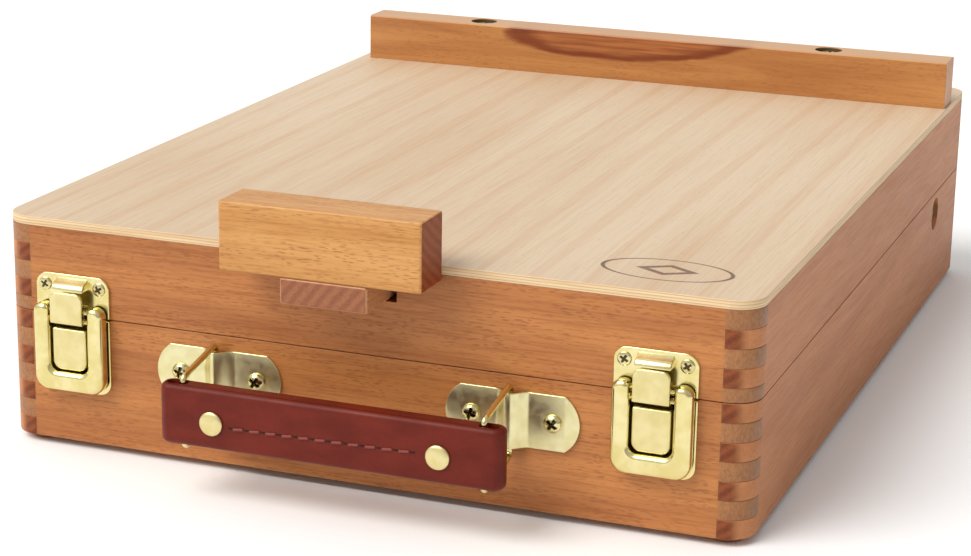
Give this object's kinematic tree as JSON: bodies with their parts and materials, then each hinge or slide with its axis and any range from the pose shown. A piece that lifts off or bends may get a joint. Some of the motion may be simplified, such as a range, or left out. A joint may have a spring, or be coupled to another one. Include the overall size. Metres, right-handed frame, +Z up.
{
  "type": "tabletop box easel",
  "caption": "Beech paint box with a tilting lid that serves as an easel: canvas ledge, sliding mast with clamp block, brass latches, leather handle, inner compartments.",
  "frame": {"origin": "on the floor, under the middle of the whole object's footprint", "axes": "+X to the right seen from the latches, +Y from the latches and handle to the hinges, +Z up"},
  "size_m": [0.305, 0.4474, 0.1155],
  "materials": {
    "beech": "satin varnished steamed beech",
    "pale_beech": "satin varnished beech",
    "birch_plywood": "sanded, satin lacquer",
    "polished_brass": "polished brass plate",
    "leather": "smooth, soft sheen",
    "foot_rubber": "matt"
  },
  "bodies": {
    "case": {"case_front": "beech", "case_back": "beech", "case_left": "beech", "case_right": "beech", "case_bottom": "birch_plywood", "foot_front_left": "foot_rubber", "foot_back_left": "foot_rubber", "foot_front_right": "foot_rubber", "foot_back_right": "foot_rubber", "divider_long": "pale_beech", "divider_short": "pale_beech", "hinge_case_leaf_left": "polished_brass", "hinge_pin_left": "polished_brass", "latch_base_left": "polished_brass", "handle_bracket_left": "polished_brass", "bracket_screw_left_1": "polished_brass", "bracket_screw_left_2": "polished_brass", "stay_bolt_left": "polished_brass", "hinge_case_leaf_right": "polished_brass", "hinge_pin_right": "polished_brass", "latch_base_right": "polished_brass", "handle_bracket_right": "polished_brass", "bracket_screw_right_1": "polished_brass", "bracket_screw_right_2": "polished_brass", "stay_bolt_right": "polished_brass"},
    "lid": {"lid_front": "beech", "lid_back": "beech", "lid_left": "beech", "lid_right": "beech", "lid_panel": "birch_plywood", "canvas_ledge": "beech", "ledge_screw_left": "polished_brass", "ledge_screw_right": "polished_brass", "mast_guide_front": "pale_beech", "mast_guide_rear": "pale_beech", "hinge_lid_leaf_left": "polished_brass", "catch_plate_left": "polished_brass", "catch_screw_left_1": "polished_brass", "catch_screw_left_2": "polished_brass", "hinge_lid_leaf_right": "polished_brass", "catch_plate_right": "polished_brass", "catch_screw_right_1": "polished_brass", "catch_screw_right_2": "polished_brass"},
    "mast": {"mast": "pale_beech", "clamp_block": "pale_beech"},
    "mast_knob": {"mast_knob": "polished_brass"},
    "stay_left": {"stay_arm_left": "polished_brass"},
    "stay_knob_left": {"stay_knob_left": "polished_brass"},
    "lever_left": {"latch_lever_left": "polished_brass"},
    "tongue_left": {"latch_tongue_left": "polished_brass"},
    "ring_left": {"handle_ring_left": "polished_brass"},
    "stay_right": {"stay_arm_right": "polished_brass"},
    "stay_knob_right": {"stay_knob_right": "polished_brass"},
    "lever_right": {"latch_lever_right": "polished_brass"},
    "tongue_right": {"latch_tongue_right": "polished_brass"},
    "ring_right": {"handle_ring_right": "polished_brass"},
    "grip": {"handle_grip": "leather", "rivet_left": "polished_brass", "rivet_right": "polished_brass"}
  },
  "joints": [
    {"name": "lid_tilt", "type": "hinge", "parent": "case", "child": "lid", "pos_m": [0, 0.22075, 0.055], "axis": [-1, 0, 0], "range_deg": [0, 65]},
    {"name": "mast_slide", "type": "slide", "parent": "lid", "child": "mast", "axis": [0, -1, 0], "range_m": [0, 0.2]},
    {"name": "mast_knob_turn", "type": "hinge", "parent": "lid", "child": "mast_knob", "pos_m": [-0.0056, -0.11745, 0.066], "axis": [0, 0, 1], "range_deg": [-360, 0]},
    {"name": "stay_left_swing", "type": "hinge", "parent": "case", "child": "stay_left", "pos_m": [-0.1388, 0.15215, 0.0443], "axis": [-1, 0, 0], "range_deg": [0, 77]},
    {"name": "stay_right_swing", "type": "hinge", "parent": "case", "child": "stay_right", "pos_m": [0.1388, 0.15215, 0.0443], "axis": [-1, 0, 0], "range_deg": [0, 77]},
    {"name": "stay_knob_left_turn", "type": "hinge", "parent": "lid", "child": "stay_knob_left", "pos_m": [-0.134, -0.02745, 0.07], "axis": [1, 0, 0], "range_deg": [-360, 0]},
    {"name": "stay_knob_right_turn", "type": "hinge", "parent": "lid", "child": "stay_knob_right", "pos_m": [0.134, -0.02745, 0.07], "axis": [1, 0, 0], "range_deg": [-360, 0]},
    {"name": "latch_left_lever", "type": "hinge", "parent": "case", "child": "lever_left", "pos_m": [-0.1215, -0.19165, 0.0579], "axis": [-1, 0, 0], "range_deg": [0, 110]},
    {"name": "latch_left_tongue", "type": "hinge", "parent": "lever_left", "child": "tongue_left", "pos_m": [-0.1215, -0.19165, 0.0541], "axis": [-1, 0, 0], "range_deg": [-110, 0]},
    {"name": "latch_right_lever", "type": "hinge", "parent": "case", "child": "lever_right", "pos_m": [0.1158, -0.19165, 0.0579], "axis": [-1, 0, 0], "range_deg": [0, 110]},
    {"name": "latch_right_tongue", "type": "hinge", "parent": "lever_right", "child": "tongue_right", "pos_m": [0.1158, -0.19165, 0.0541], "axis": [-1, 0, 0], "range_deg": [-110, 0]},
    {"name": "handle_left_swing", "type": "hinge", "parent": "case", "child": "ring_left", "pos_m": [-0.0585, -0.19035, 0.0386], "axis": [0, 0, 1], "range_deg": [-60, 60]},
    {"name": "handle_right_swing", "type": "hinge", "parent": "case", "child": "ring_right", "pos_m": [0.0615, -0.19035, 0.0386], "axis": [0, 0, 1], "range_deg": [-60, 60]},
    {"name": "grip_turn", "type": "hinge", "parent": "ring_left", "child": "grip", "pos_m": [-0.0585, -0.21755, 0.0336], "axis": [0, 0, 1], "range_deg": [-60, 60]}
  ],
  "couplings": [
    {"joint": "stay_left_swing", "follows": "lid_tilt", "ratio": 1.1769},
    {"joint": "stay_right_swing", "follows": "lid_tilt", "ratio": 1.1769},
    {"joint": "latch_left_tongue", "follows": "latch_left_lever", "ratio": -1},
    {"joint": "latch_right_tongue", "follows": "latch_right_lever", "ratio": -1},
    {"joint": "handle_right_swing", "follows": "handle_left_swing", "ratio": 1},
    {"joint": "grip_turn", "follows": "handle_left_swing", "ratio": -1}
  ]
}
